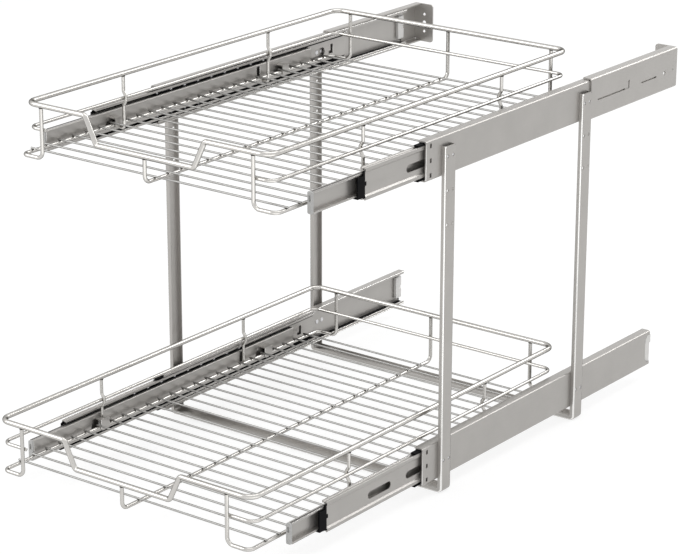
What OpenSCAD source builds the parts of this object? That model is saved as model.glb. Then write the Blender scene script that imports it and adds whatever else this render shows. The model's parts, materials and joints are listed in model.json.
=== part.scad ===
// Pull out cabinet basket: two wire baskets on ball slides, carried by two
// U frames, with a height adjustment of the upper tier and two rear brackets.
// Y = 0 in the measures below is the front edge of the rails, and Y grows
// towards the back of the cabinet. The floor of the cabinet is Z = 0.

/* [U frames] */
// Overall width across the posts
frame_width = 412; // [380:1:460]
// Height of the posts
post_height = 417; // [400:1:440]
// Width of a post, along the depth of the cabinet
post_width = 19; // [18:0.5:23]
// Depth of the turned in flanges of a post
post_flange = 5.4; // [4:0.2:7]
// Sheet thickness of the frames
frame_sheet = 1.3; // [1:0.1:1.6]
// Outer radius where a post turns into the floor strap
frame_corner = 6; // [4:0.5:8]
// Front edge of the front frame, behind the front edge of the rails
front_post_y = 29.8; // [20:0.2:60]
// Front edge of the rear frame
rear_post_y = 312.2; // [250:0.2:316]
// Vertical distance between the three height positions
height_pitch = 40; // [32:1:44]
// Diameter of the screw holes in the posts
post_hole = 3.8; // [3.4:0.1:4.2]
// Distance between the two holes of a pair
pair_spacing = 10; // [8:0.5:10.5]
// Diameter of the floor screw hole in the middle of each strap
floor_hole = 4.8; // [4:0.1:6]

/* [Rails and slides] */
// Length of the rails, which is also their travel
rail_length = 500; // [496:1:506]
// Height of a rail
rail_height = 46.8; // [46:0.2:48]
// Sheet thickness of rails and slide members
rail_sheet = 1.2; // [1:0.1:1.2]
// Height of the middle of the lower rails above the floor
lower_rail_z = 40.6; // [38:0.2:60]
// Height of the middle of the upper rails above the floor
upper_rail_z = 405.2; // [400:0.2:406]
// Length of the intermediate members
mid_length = 478; // [470:1:486]
// Length of the drawer members
drawer_length = 486; // [470:1:487]
// How far the upper intermediate members are out
upper_mid_out = 107; // [60:1:140]
// How far the upper basket is out
upper_out = 193.6; // [170:0.1:250]
// How far the lower intermediate members are out
lower_mid_out = 174.5; // [100:0.5:200]
// How far the lower basket is out
lower_out = 232.6; // [220:0.1:300]
// Diameter of the slide balls
ball_d = 4; // [3.9:0.05:4]

/* [Rear brackets] */
// Length of a rear bracket
bracket_length = 200; // [180:1:210]
// Front edge of the bracket when it is pushed in
bracket_y = 335.5; // [333:0.5:340]
// Sheet thickness of the brackets
bracket_sheet = 1.8; // [1.4:0.1:2]
// Width of the screw flange at the back of a bracket
bracket_flange = 31; // [26:1:34]

/* [Baskets] */
// Width of the upper rim, wire centre to wire centre
upper_width = 345.6; // [340:0.2:348]
// Length of the upper rim
upper_length = 564.6; // [560:0.2:568]
// Width of the lower rim
lower_width = 369; // [360:0.2:369]
// Length of the lower rim
lower_length = 586; // [580:0.2:590]
// How far the front of the upper rim is in front of its drawer members
upper_lead = 45.7; // [40:0.1:48]
// How far the front of the lower rim is in front of its drawer members
lower_lead = 56.8; // [52:0.1:60]
// Height of the rim above the middle of the rail
rim_rise = 58; // [56:0.5:62]
// Height of the rim above the base wires
basket_height = 61; // [60:0.5:64]
// Distance from the rim down to the middle rim
mid_rim_drop = 29; // [27:0.5:30]
// Depth of the lowered part at the front of the rim
dip_depth = 31.5; // [28:0.5:33]
// Half width of the lowered part at the level of the rim
dip_half_top = 85; // [80:1:90]
// Half width of the lowered part at its bottom
dip_half_bottom = 69.5; // [60:0.5:72]
// Sideways place of the front and back uprights
upright_x = 150.5; // [148:0.5:154]
// Sideways place of the side wires of the base
side_wire_x = 181; // [179:0.5:182]
// Number of cross wires in a base
cross_count = 25; // [22:1:25]
// Distance between cross wires
cross_pitch = 22.15; // [21:0.05:22.2]
// Wire of the rims
rim_wire = 6; // [5.4:0.1:6.4]
// Wire of the middle rims
mid_wire = 4; // [3.6:0.1:4.4]
// Wire of the long base wires
base_wire = 4.5; // [4:0.1:4.6]
// Wire of the side uprights
side_wire = 4; // [3.6:0.1:4]
// Wire of the cross wires
cross_wire = 2.4; // [2:0.1:2.6]

/* [Hidden] */
$fn = 48;

galvanised = [0.67, 0.66, 0.64];
bright_wire = [0.80, 0.80, 0.79];
dark_plastic = [0.08, 0.08, 0.08];
pale_plastic = [0.88, 0.87, 0.85];
grey_plastic = [0.66, 0.66, 0.64];
ball_steel = [0.75, 0.75, 0.76];

// Fronts of the two baskets and the place of everything along Y: the middle
// of the whole object comes to Y = 0.
upper_front_y = -upper_out - upper_lead;
lower_front_y = -lower_out - lower_lead;
front_most = lower_front_y - rim_wire / 2;
rear_most = bracket_y + bracket_length;
middle_y = (front_most + rear_most) / 2;

// Sideways places, and depths measured inwards from the outer face of a rail
rail_gap = 0.1;
rail_x = frame_width / 2 - post_flange - rail_gap;
cover_depth = 11.6;
outer_depth = 10.6;
mid_web = 4.9;
mid_face = 3.2;
mid_depth = 10.2;
mid_half = 18.5;
mid_flange = 2.7;
mid_shoulder = 1.3;
mid_step = 12.3;
drawer_lip = 6.2;
drawer_face = 12.7;
drawer_half = 12.4;
drawer_flange = 2.3;
outer_ball = [6.2, 19.4];
inner_ball = [8.2, 14.1];
ball_play = 0.06;
weld = 0.3;

// Heights of the basket wires above the middle of the rail
base_z = rim_rise - basket_height;
bend_r = 8;
rim_corner = 14;
dip_corner = 5;
wire_side = 40;

function unit(v) = v / norm(v);
function basket_width(tier) = tier == "upper" ? upper_width : lower_width;
function basket_length(tier) = tier == "upper" ? upper_length : lower_length;
function front_y(tier) = tier == "upper" ? upper_front_y : lower_front_y;
function rail_z(tier) = tier == "upper" ? upper_rail_z : lower_rail_z;
function mid_out(tier) = tier == "upper" ? upper_mid_out : lower_mid_out;
function drawer_out(tier) = tier == "upper" ? upper_out : lower_out;
// The mat of cross wires sits in the middle of the length of its basket
function cross_start(tier) = (basket_length(tier) - cross_pitch * (cross_count - 1)) / 2;
// The side uprights and the hook tabs stand in the gaps between cross wires,
// which are counted from the front
upright_gaps = [6, 18];
tab_gaps = [6, 20];
function gap_from_front(tier, gap) = cross_start(tier) + cross_pitch * (gap + 0.5);

// Everything is drawn with the front edge of the rails at Y = 0, then placed
module placed() { translate([0, -middle_y, 0]) children(); }
module on_side(side) { if (side == "left") mirror([1, 0, 0]) children(); else children(); }
module both_sides() { children(); mirror([1, 0, 0]) children(); }

// Draws an outline of (depth inwards, height) at a rail and extends it along Y
module along_rail(tier, y0, y1) {
    translate([rail_x, y1, rail_z(tier)]) rotate([90, 0, 0]) linear_extrude(y1 - y0)
        mirror([1, 0]) children();
}

module rounded_box(x0, z0, x1, z1, r) {
    translate([x0 + r, z0]) square([x1 - x0 - 2 * r, z1 - z0]);
    translate([x0, z0 + r]) square([x1 - x0, z1 - z0 - 2 * r]);
    for (x = [x0 + r, x1 - r], z = [z0 + r, z1 - r]) translate([x, z]) circle(r);
}

// A channel open towards the basket, with round bends at the back of its web
module channel(web, depth, half, sheet, r) {
    difference() {
        intersection() {
            rounded_box(web, -half, depth + 2 * r, half, r);
            translate([web, -half]) square([depth - web, 2 * half]);
        }
        rounded_box(web + sheet, -half + sheet, depth + 20, half - sheet, max(r - sheet, 0.4));
    }
}

// Wires: straight rods joined by bends, whose radius r is one number or a
// list with a radius for each point. A rod laps a little way into a bend,
// which is drawn a hair thicker.
lap = 0.05;
bend_extra = 0.02;

module rod(p, q, d) {
    v = q - p;
    translate(p) rotate([0, acos(v.z / norm(v)), atan2(v.y, v.x)])
        cylinder(d = d, h = norm(v), $fn = wire_side);
}

module bend(from, corner, to, r, d) {
    u = unit(corner - from);
    v = unit(to - corner);
    angle = acos(u * v);
    n = unit(v - u * (u * v));
    w = cross(u, n);
    c = corner - u * (r * tan(angle / 2)) + n * r;
    multmatrix([[-n.x, u.x, w.x, c.x], [-n.y, u.y, w.y, c.y], [-n.z, u.z, w.z, c.z], [0, 0, 0, 1]])
        rotate_extrude(angle = angle) translate([r, 0]) circle(d = d + bend_extra, $fn = wire_side);
}

// Length that a bend of radius r takes off the straight parts beside point b
function bend_trim(a, b, c, r) = r * tan(acos(unit(b - a) * unit(c - b)) / 2) - lap;

function radius_at(r, i) = is_list(r) ? r[i] : r;

// A closed wire runs on from its last point to its first
module wire(path, r, d, closed = false) {
    n = len(path);
    for (i = [0 : n - (closed ? 1 : 2)]) {
        p = path[i];
        q = path[(i + 1) % n];
        u = unit(q - p);
        start = closed || i > 0 ? bend_trim(path[(i + n - 1) % n], p, q, radius_at(r, i)) : 0;
        end = closed || i < n - 2 ? bend_trim(p, q, path[(i + 2) % n], radius_at(r, (i + 1) % n)) : 0;
        rod(p + u * start, q - u * end, d);
    }
    for (i = [closed ? 0 : 1 : n - (closed ? 1 : 2)])
        bend(path[(i + n - 1) % n], path[i], path[(i + 1) % n], radius_at(r, i), d);
}

// ---- U frames -------------------------------------------------------------

// Outline of a frame seen from the front: the band of sheet between two Us
module u_band(depth) {
    half = frame_width / 2;
    inner = max(frame_corner - depth, 0.6);
    difference() {
        intersection() {
            rounded_box(-half, 0, half, post_height + 20, frame_corner);
            translate([-half, 0]) square([2 * half, post_height]);
        }
        rounded_box(-half + depth, depth, half - depth, post_height + 40, inner);
    }
}

module post_hole_pair(z) {
    for (dy = [-pair_spacing / 2, pair_spacing / 2])
        translate([-frame_width, post_width / 2 + dy, z]) rotate([0, 90, 0])
            cylinder(d = post_hole, h = 2 * frame_width);
}

module u_frame(y) {
    translate([0, y, 0]) difference() {
        union() {
            translate([0, post_width, 0]) rotate([90, 0, 0]) linear_extrude(post_width)
                u_band(frame_sheet);
            for (edge = [frame_sheet, post_width])
                translate([0, edge, 0]) rotate([90, 0, 0]) linear_extrude(frame_sheet)
                    u_band(post_flange);
        }
        for (step = [0 : 2]) post_hole_pair(upper_rail_z - step * height_pitch);
        post_hole_pair(lower_rail_z);
        translate([0, post_width / 2, -1]) cylinder(d = floor_hole, h = 2 * frame_sheet + 2);
    }
}

module front_frame() { color(galvanised) placed() u_frame(front_post_y); }
module rear_frame() { color(galvanised) placed() u_frame(rear_post_y); }

// ---- Rails ----------------------------------------------------------------

cover_bend = 2.6;
edge_slot = [3.4, 5.2];
edge_slot_y = 7;
edge_slot_z = 17;
notch_depth = 10.5;
notch_half = 18;
notch_corner = 5;
screw_hole = 3.8;
// Cutting bodies reach this far past the webs of a rail on both sides
cut_reach = 7;

// Screw places along a rail: a pair at each post
screw_places = [for (y = [front_post_y, rear_post_y], d = [-1, 1])
    y + post_width / 2 + d * pair_spacing / 2];

// Extends an outline of (place along Y, height) through both webs of a rail
module through_web(tier) {
    translate([rail_x - cut_reach, 0, rail_z(tier)]) rotate([90, 0, 90])
        linear_extrude(2 * cut_reach) children();
}

module web_holes(tier) {
    through_web(tier) for (y = screw_places) translate([y, 0]) circle(d = screw_hole);
}

// The three small slots at the front edge of the web
module edge_slots(tier) {
    through_web(tier) for (z = [-edge_slot_z, 0, edge_slot_z])
        translate([edge_slot_y, z - edge_slot.y / 2]) square(edge_slot);
}

// The notch in the rear end of the web, with slanted corners. A plug of the
// bumper fills it with a little play.
module notch_outline(play) {
    front = rail_length - notch_depth + play;
    half = notch_half - play;
    polygon([[front + notch_corner, -half], [rail_length + 1, -half], [rail_length + 1, half],
             [front + notch_corner, half], [front, half - notch_corner],
             [front, -half + notch_corner]]);
}

module rear_notch(tier) { through_web(tier) notch_outline(0); }

// A lug on each upper rail runs in the front slot of its rear bracket
lug = [rail_gap + 1.5, 8, 1.6];
lug_y = 413;
bracket_slot_z = -3;

module bracket_lug(tier) {
    translate([rail_x, lug_y, rail_z(tier) + bracket_slot_z - lug.z / 2]) cube(lug);
}

module cover_rail(tier, side) {
    on_side(side) if (tier == "upper") bracket_lug(tier);
    on_side(side) difference() {
        along_rail(tier, 0, rail_length)
            channel(0, cover_depth, rail_height / 2, rail_sheet, cover_bend);
        web_holes(tier);
        rear_notch(tier);
        edge_slots(tier);
    }
}

// A rectangle that starts at 0 sideways and is centred in height
module square_on_end(size) { translate([0, -size.y / 2]) square(size); }

module groove(centre) { translate(centre) circle(ball_d / 2 + ball_play); }

// The flanges of an outer member end in short lips that keep the balls in
outer_half = rail_height / 2 - rail_sheet;
outer_setback = 0.6;
outer_lip = 2.6;

module outer_member(tier, side) {
    on_side(side) difference() {
        along_rail(tier, outer_setback, rail_length) difference() {
            union() {
                channel(rail_sheet, outer_depth, outer_half, rail_sheet, cover_bend - rail_sheet);
                for (s = [-1, 1])
                    translate([outer_depth - rail_sheet, s * (outer_half - outer_lip / 2)])
                        square_on_end([rail_sheet, outer_lip]);
            }
            for (s = [-1, 1]) groove([outer_ball.x, s * outer_ball.y]);
        }
        web_holes(tier);
        rear_notch(tier);
        edge_slots(tier);
    }
}

module lower_left_cover_rail() { color(galvanised) placed() cover_rail("lower", "left"); }
module lower_right_cover_rail() { color(galvanised) placed() cover_rail("lower", "right"); }
module upper_left_cover_rail() { color(galvanised) placed() cover_rail("upper", "left"); }
module upper_right_cover_rail() { color(galvanised) placed() cover_rail("upper", "right"); }
module lower_left_outer_member() { color(galvanised) placed() outer_member("lower", "left"); }
module lower_right_outer_member() { color(galvanised) placed() outer_member("lower", "right"); }
module upper_left_outer_member() { color(galvanised) placed() outer_member("upper", "left"); }
module upper_right_outer_member() { color(galvanised) placed() outer_member("upper", "right"); }

// Round headed screws put in from inside the rails. Their heads lie flat in
// the room between the outer member and the intermediate member.
screw_d = 3.4;
screw_head = [6, 0.7];

module rail_screw(tier, y, tip) {
    web = rail_x - 2 * rail_sheet;
    translate([web - screw_head[1], y, rail_z(tier)]) rotate([0, 90, 0]) {
        cylinder(d = screw_head[0], h = screw_head[1]);
        cylinder(d = screw_d, h = tip - web + screw_head[1]);
    }
}

module rail_screws(tier, tip) {
    both_sides() for (y = screw_places) rail_screw(tier, y, tip);
}

module lower_rail_screws() {
    color(ball_steel) placed() rail_screws("lower", frame_width / 2);
}

// The tips of the height screws end just inside the web of the posts
module height_screws() {
    color(ball_steel) placed()
        rail_screws("upper", frame_width / 2 - frame_sheet - 0.2);
}

// Black pads in the front ends of the raceways of the rails. They stand out
// in front of the rail and end before the first ball.
pad_depths = [2.9, 9.2];
pad_out = 11;
pad_in = 5;
pad_play = 0.25;

module rail_pads(tier) {
    top = outer_half - rail_sheet;
    low = mid_half + pad_play;
    both_sides() along_rail(tier, -pad_out, pad_in) for (s = [-1, 1])
        translate([pad_depths[0], s * (top + low) / 2])
            square_on_end([pad_depths[1] - pad_depths[0], top - low]);
}

module lower_rail_pads() { color(dark_plastic) placed() rail_pads("lower"); }
module upper_rail_pads() { color(dark_plastic) placed() rail_pads("upper"); }

// White plastic bumpers that stop the intermediate members at the back: a
// block inside the rail, and a plug that fills the notch of the rail. The
// upper part of the plug sticks out behind the rail.
bumper = [4, 12, 30];
bumper_slot = [2.2, 5, 4];
plug_play = 0.4;
plug_tail = [2.5, 11];

module bumper_block(tier, side) {
    inner = rail_x - 2 * rail_sheet;
    on_side(side) {
        translate([inner - bumper.x, rail_length - bumper.y, rail_z(tier)]) difference() {
            translate([0, 0, -bumper.z / 2]) cube(bumper);
            translate([-1, bumper.y - bumper_slot.y, -bumper_slot.z / 2])
                cube([bumper_slot.x, bumper_slot.y + 1, bumper_slot.z]);
        }
        intersection() {
            through_web(tier) union() {
                difference() {
                    notch_outline(plug_play);
                    translate([rail_length, -rail_height]) square([2, 2 * rail_height]);
                }
                translate([rail_length - 1, notch_half - plug_play - plug_tail.y])
                    square([plug_tail.x + 1, plug_tail.y]);
            }
            translate([inner, 0, 0])
                cube([2 * rail_sheet - plug_play, 2 * rail_length, 2 * post_height]);
        }
    }
}

module lower_left_bumper() { color(pale_plastic) placed() bumper_block("lower", "left"); }
module lower_right_bumper() { color(pale_plastic) placed() bumper_block("lower", "right"); }
module upper_left_bumper() { color(pale_plastic) placed() bumper_block("upper", "left"); }
module upper_right_bumper() { color(pale_plastic) placed() bumper_block("upper", "right"); }

// ---- Rear brackets --------------------------------------------------------

bracket_play = 0.4;
bracket_depth = 12;
bracket_slot = 2;
flange_hole_z = 11.5;
flange_hole = 4;
flange_centre_hole = 6;

flange_corner = 4;
flange_drop = 3;
// Slots of the web: first and last centre, measured from the front edge. The
// first one turns up at its end.
bracket_slots = [[16, 86], [116, 150]];
bracket_kink = [2.2, 8, 3];
// Holes of the web: place from the front edge, height over the slots, diameter
bracket_holes = [[170, 1, 5.6], [190, 1.4, 2.4]];

module slot_along(y0, y1, z, width) {
    for (y = [y0, y1]) translate([0, y, z]) rotate([0, 90, 0]) cylinder(d = width, h = 8);
    translate([0, y0, z - width / 2]) cube([8, y1 - y0, width]);
}

// The flange at the back, seen from behind: square at the web, with two round
// corners on its free side
module flange_outline(half) {
    r = flange_corner;
    translate([-bracket_flange, -half]) {
        translate([0, r]) square([r, 2 * (half - r)]);
        translate([r, 0]) square([bracket_flange - 2 * r, 2 * half]);
        for (z = [r, 2 * half - r]) translate([r, z]) circle(r);
    }
    translate([-r - flange_drop, flange_drop - half])
        square([r + flange_drop - 1, 2 * (half - flange_drop)]);
}

module rear_bracket(side) {
    half = rail_height / 2 + bracket_play + bracket_sheet;
    face = rail_gap + bracket_sheet;
    rear = bracket_y + bracket_length;
    on_side(side) difference() {
        union() {
            translate([rail_x + face, rear, upper_rail_z]) rotate([90, 0, 0])
                linear_extrude(bracket_length) mirror([1, 0])
                channel(0, bracket_depth, half, bracket_sheet, 3.2);
            translate([rail_x + face, rear, upper_rail_z]) rotate([90, 0, 0])
                linear_extrude(bracket_sheet) flange_outline(half);
        }
        // slots and holes of the web
        translate([rail_x - 3, bracket_y, upper_rail_z + bracket_slot_z]) {
            for (slot = bracket_slots) slot_along(slot[0], slot[1], 0, bracket_slot);
            translate([0, bracket_slots[0][1], 0]) {
                translate([0, -bracket_kink[0] / 2, 0]) cube([8, bracket_kink[0], bracket_kink[1]]);
                translate([0, 0, bracket_kink[1]]) rotate([0, 90, 0])
                    cylinder(d = bracket_kink[2], h = 8);
            }
            for (hole = bracket_holes)
                translate([0, hole[0], hole[1]]) rotate([0, 90, 0]) cylinder(d = hole[2], h = 8);
        }
        // three screw holes in the flange at the back
        for (z = [-flange_hole_z, 0, flange_hole_z])
            translate([rail_x + face - bracket_flange / 2 - 2, rear + 1, upper_rail_z + z])
                rotate([90, 0, 0]) cylinder(d = z == 0 ? flange_centre_hole : flange_hole, h = 6);
    }
}

module left_rear_bracket() { color(galvanised) placed() rear_bracket("left"); }
module right_rear_bracket() { color(galvanised) placed() rear_bracket("right"); }

// ---- Slides ---------------------------------------------------------------

// A thick raceway bar with a rounded shoulder above and below, each joined by
// a slanted wall to the web, which stands back from the bars
module mid_outline() {
    slant = mid_web - mid_face;
    mitre = rail_sheet * tan(22.5);
    bar = mid_half - mid_flange;
    difference() {
        union() {
            for (s = [0, 1]) mirror([0, s]) {
                intersection() {
                    rounded_box(mid_face, bar - 4, mid_depth + 4, mid_half, mid_shoulder);
                    translate([mid_face, bar]) square([mid_depth - mid_face, mid_flange]);
                }
                polygon([[mid_face, bar + weld], [mid_face, mid_step + slant],
                         [mid_web, mid_step], [mid_web + rail_sheet, mid_step + mitre],
                         [mid_face + rail_sheet, mid_step + slant + mitre],
                         [mid_face + rail_sheet, bar + weld]]);
            }
            translate([mid_web, -mid_step - mitre]) square([rail_sheet, 2 * (mid_step + mitre)]);
        }
        for (s = [-1, 1]) {
            groove([outer_ball.x, s * outer_ball.y]);
            groove([inner_ball.x, s * inner_ball.y]);
        }
    }
}

module web_slot(tier, y0, y1, z, width) {
    translate([rail_x - mid_web - 4, 0, rail_z(tier)])
        slot_along(y0 + width / 2, y1 - width / 2, z, width);
}

// Slots in the web: start, end, height of the middle, width
mid_slots = [[77, 120, -2, 9], [149, 192, -2, 9], [404, 436, 0, 12]];
// J shaped catch slot near the rear end: its front edge, the foot and the stem
catch_slot = 444;
catch_foot = [9, 4];
catch_stem = [5, 12];
catch_low = -5;
// Notch in the front edge of the web, for the tongue of the guide
guide_notch = [4, 5];

module mid_member(tier, side) {
    y = -mid_out(tier);
    on_side(side) difference() {
        along_rail(tier, y, y + mid_length) mid_outline();
        for (slot = mid_slots) web_slot(tier, y + slot[0], y + slot[1], slot[2], slot[3]);
        through_web(tier) translate([y - 1, 0]) square_on_end([guide_notch.x + 1, guide_notch.y]);
        through_web(tier) translate([y + catch_slot, catch_low]) {
            square(catch_foot);
            translate([catch_foot.x - catch_stem.x, 0]) square(catch_stem);
        }
    }
}

module lower_left_mid_member() { color(galvanised) placed() mid_member("lower", "left"); }
module lower_right_mid_member() { color(galvanised) placed() mid_member("lower", "right"); }
module upper_left_mid_member() { color(galvanised) placed() mid_member("upper", "left"); }
module upper_right_mid_member() { color(galvanised) placed() mid_member("upper", "right"); }

// Black guides on the front ends of the intermediate members: a plate
// outside the drawer member with a lip under it, a neck in front of the
// raceway, and a tongue in a notch of the web
guide_reach = 13;
guide_face = [3.6, 5.6];
guide_top = 9.8;
guide_neck = [3, 15];
guide_low = -drawer_half - 0.5;
guide_lip = [11.8, 1.7];
tongue_play = 0.1;

module slide_guides(tier) {
    y = -mid_out(tier);
    width = guide_face[1] - guide_face[0];
    both_sides() {
        along_rail(tier, y - guide_reach, y) {
            translate([guide_face[0], guide_low]) square([width, guide_top - guide_low]);
            translate([guide_face[0], guide_low - guide_lip[1]])
                square([guide_lip[0] - guide_face[0], guide_lip[1]]);
        }
        along_rail(tier, y - guide_neck[0], y)
            translate([guide_face[0], guide_top]) square([width, guide_neck[1] - guide_top]);
        along_rail(tier, y - guide_neck[0], y + guide_notch.x - tongue_play)
            translate([mid_web, 0])
                square_on_end([rail_sheet - tongue_play, guide_notch.y - 2 * tongue_play]);
    }
}

module lower_slide_guides() { color(dark_plastic) placed() slide_guides("lower"); }
module upper_slide_guides() { color(dark_plastic) placed() slide_guides("upper"); }

// Ball cages: thin channels with a row of balls above and below. The outer
// pair runs between the rail and the intermediate member, the inner pair
// between the intermediate member and the drawer member.
cage_length = 220;
cage_sheet = 0.5;
balls_per_row = 9;
ball_pitch = 25;
outer_cage_depths = [2.55, 9.0];
inner_cage_depths = [6.25, 11.0];
ball_window_play = 0.3;

function ball_y(start, i) = start + (cage_length - ball_pitch * (balls_per_row - 1)) / 2 + i * ball_pitch;

module cage(tier, start, depths, centre) {
    difference() {
        along_rail(tier, start, start + cage_length) for (s = [-1, 1])
            translate([depths[0], s * centre.y])
                square_on_end([depths[1] - depths[0], cage_sheet]);
        for (s = [-1, 1], i = [0 : balls_per_row - 1])
            translate([rail_x - centre.x, ball_y(start, i), rail_z(tier) + s * centre.y - 1])
                cylinder(d = ball_d + ball_window_play, h = 2);
    }
}

module ball_rows(tier, start, centre) {
    for (s = [-1, 1], i = [0 : balls_per_row - 1])
        translate([rail_x - centre.x, ball_y(start, i), rail_z(tier) + s * centre.y])
            sphere(d = ball_d);
}

// A cage starts this far behind the front end of the fixed rail or the
// intermediate member it runs in, and moves half as fast as what it guides
half_travel = rail_length / 2;
outer_cage_gap = 6;
inner_cage_gap = 16;
function outer_cage_y(tier) = outer_cage_gap + (half_travel - mid_out(tier)) / 2;
function inner_cage_y(tier) = -mid_out(tier) + inner_cage_gap
    + (half_travel - (drawer_out(tier) - mid_out(tier))) / 2;

module outer_cages(tier) {
    both_sides() cage(tier, outer_cage_y(tier), outer_cage_depths, outer_ball);
}
module inner_cages(tier) {
    both_sides() cage(tier, inner_cage_y(tier), inner_cage_depths, inner_ball);
}
module outer_balls(tier) { both_sides() ball_rows(tier, outer_cage_y(tier), outer_ball); }
module inner_balls(tier) { both_sides() ball_rows(tier, inner_cage_y(tier), inner_ball); }

module lower_outer_cages() { color(dark_plastic) placed() outer_cages("lower"); }
module lower_inner_cages() { color(dark_plastic) placed() inner_cages("lower"); }
module upper_outer_cages() { color(dark_plastic) placed() outer_cages("upper"); }
module upper_inner_cages() { color(dark_plastic) placed() inner_cages("upper"); }
module lower_outer_balls() { color(ball_steel) placed() outer_balls("lower"); }
module lower_inner_balls() { color(ball_steel) placed() inner_balls("lower"); }
module upper_outer_balls() { color(ball_steel) placed() outer_balls("upper"); }
module upper_inner_balls() { color(ball_steel) placed() inner_balls("upper"); }

// ---- Drawer members -------------------------------------------------------

// Hook tabs that hold the side wires of a basket: a leg that leaves the web
// over the wire, a plate beside the wire and a short foot under it. A tab is
// pressed out of a window in the web, which starts in front of the tab.
tab_sheet = 1.2;
tab_play = 0.1;
tab_gap = 1.6;
tab_reach = rail_x - side_wire_x + base_wire / 2 + tab_play;
tab_low = base_z - base_wire / 2 - tab_play - tab_sheet;
tab_foot = 5.1;
tab_round = 3;
tab_raise = 1.95;
short_leg = 7;
window_lead = [7, 3.5];
window_low = -5;
rear_slot = [377, 6, 13];
rear_slot_low = -3;
function tab_length(tier) = tier == "upper" ? 12.5 : 15;
function tab_top(tier) = tier == "upper" ? 5.4 : 7.4;
// The leg is short where a side upright comes down between web and wire
function leg_length(tier, gap) =
    tier == "lower" && gap == upright_gaps[0] ? short_leg : tab_length(tier);

drawer_round = 1.6;

module drawer_outline() {
    r = drawer_round;
    difference() {
        intersection() {
            rounded_box(drawer_lip - 2 * r, -drawer_half, drawer_face, drawer_half, r);
            translate([drawer_lip, -drawer_half])
                square([drawer_face - drawer_lip, 2 * drawer_half]);
        }
        translate([drawer_lip - 1, drawer_flange - drawer_half])
            square([drawer_face - rail_sheet - drawer_lip + 1, 2 * (drawer_half - drawer_flange)]);
        for (s = [-1, 1]) groove([inner_ball.x, s * inner_ball.y]);
    }
}

// The plate of a tab has a round lower front corner, and behind the foot it
// ends higher, clear of the foot of the side upright
module hook_tab(tier, y, leg) {
    top = tab_top(tier);
    length = tab_length(tier);
    low = tab_low + tab_raise;
    along_rail(tier, y, y + leg) translate([drawer_face - tab_sheet / 2, top - tab_sheet])
        square([tab_reach + tab_sheet / 2 - drawer_face + weld, tab_sheet]);
    translate([rail_x - tab_reach - tab_sheet, y, rail_z(tier)]) rotate([90, 0, 90])
        linear_extrude(tab_sheet) {
            polygon([[0, tab_low + tab_round], [0, top], [length, top], [length, low],
                     [short_leg, low], [short_leg, tab_low], [tab_round, tab_low]]);
            translate([tab_round, tab_low + tab_round]) circle(tab_round);
        }
    along_rail(tier, y + tab_round, y + short_leg)
        translate([tab_reach + tab_sheet / 2 - tab_foot, tab_low])
            square([tab_foot, tab_sheet]);
}

// Gap and front edge of each hook tab of a drawer member
function tab_places(tier) = [for (gap = tab_gaps)
    [gap, front_y(tier) + gap_from_front(tier, gap) - cross_pitch / 2 + tab_gap]];

// Extends an outline of (place along Y, height) through the drawer member's web
module through_face(tier) {
    translate([rail_x - drawer_face - 1, 0, rail_z(tier)]) rotate([90, 0, 90])
        linear_extrude(rail_sheet + 2) children();
}

module drawer_member(tier, side) {
    y = -drawer_out(tier);
    top = tab_top(tier) - tab_sheet;
    on_side(side) {
        difference() {
            along_rail(tier, y, y + drawer_length) drawer_outline();
            through_face(tier) {
                for (tab = tab_places(tier)) translate([tab[1], 0])
                    polygon([[-window_lead[0], window_low], [leg_length(tier, tab[0]), window_low],
                             [leg_length(tier, tab[0]), top], [-window_lead[1], top]]);
                translate([y + rear_slot[0], rear_slot_low]) square([rear_slot[1], rear_slot[2]]);
            }
        }
        for (tab = tab_places(tier)) hook_tab(tier, tab[1], leg_length(tier, tab[0]));
    }
}

module lower_left_drawer_member() { color(galvanised) placed() drawer_member("lower", "left"); }
module lower_right_drawer_member() { color(galvanised) placed() drawer_member("lower", "right"); }
module upper_left_drawer_member() { color(galvanised) placed() drawer_member("upper", "left"); }
module upper_right_drawer_member() { color(galvanised) placed() drawer_member("upper", "right"); }

// Grey plastic caps on the front ends of the drawer members, with a recess
// above the middle
cap_thick = 2.4;
cap_recess = [3, 6.5, 1.6];
cap_recess_low = 1.5;

module drawer_caps(tier) {
    y = -drawer_out(tier) - cap_thick;
    both_sides() difference() {
        along_rail(tier, y, y + cap_thick)
            rounded_box(drawer_lip, -drawer_half, drawer_face, drawer_half, drawer_round);
        along_rail(tier, y - 1, y + cap_recess.z)
            translate([(drawer_lip + drawer_face - cap_recess.x) / 2, cap_recess_low])
                square([cap_recess.x, cap_recess.y]);
    }
}

module lower_drawer_caps() { color(grey_plastic) placed() drawer_caps("lower"); }
module upper_drawer_caps() { color(grey_plastic) placed() drawer_caps("upper"); }

// ---- Wire baskets ---------------------------------------------------------

// Places a basket drawn with its front at Y = 0 and the rail's middle at Z = 0
module basket_place(tier) {
    translate([0, front_y(tier), rail_z(tier)]) children();
}

// The rim is one closed wire with a lowered part at the front
module top_rim(tier) {
    half = basket_width(tier) / 2;
    back = basket_length(tier);
    low = rim_rise - dip_depth;
    wire([[-dip_half_bottom, 0, low], [dip_half_bottom, 0, low], [dip_half_top, 0, rim_rise],
          [half, 0, rim_rise], [half, back, rim_rise], [-half, back, rim_rise],
          [-half, 0, rim_rise], [-dip_half_top, 0, rim_rise]],
         [dip_corner, dip_corner, dip_corner, rim_corner, rim_corner, rim_corner, rim_corner,
          dip_corner], rim_wire, closed = true);
}

// The middle rim goes round three sides and turns in to the front uprights
mid_corner = 11;
upright_lap = 3;

module mid_rim(tier) {
    half = basket_width(tier) / 2;
    z = rim_rise - mid_rim_drop;
    front = (base_wire + mid_wire) / 2 - weld;
    back = basket_length(tier) - front;
    end = upright_x - upright_lap;
    wire([[-end, front, z], [-half, front, z], [-half, back, z], [half, back, z],
          [half, front, z], [end, front, z]], mid_corner, mid_wire);
}

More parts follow.
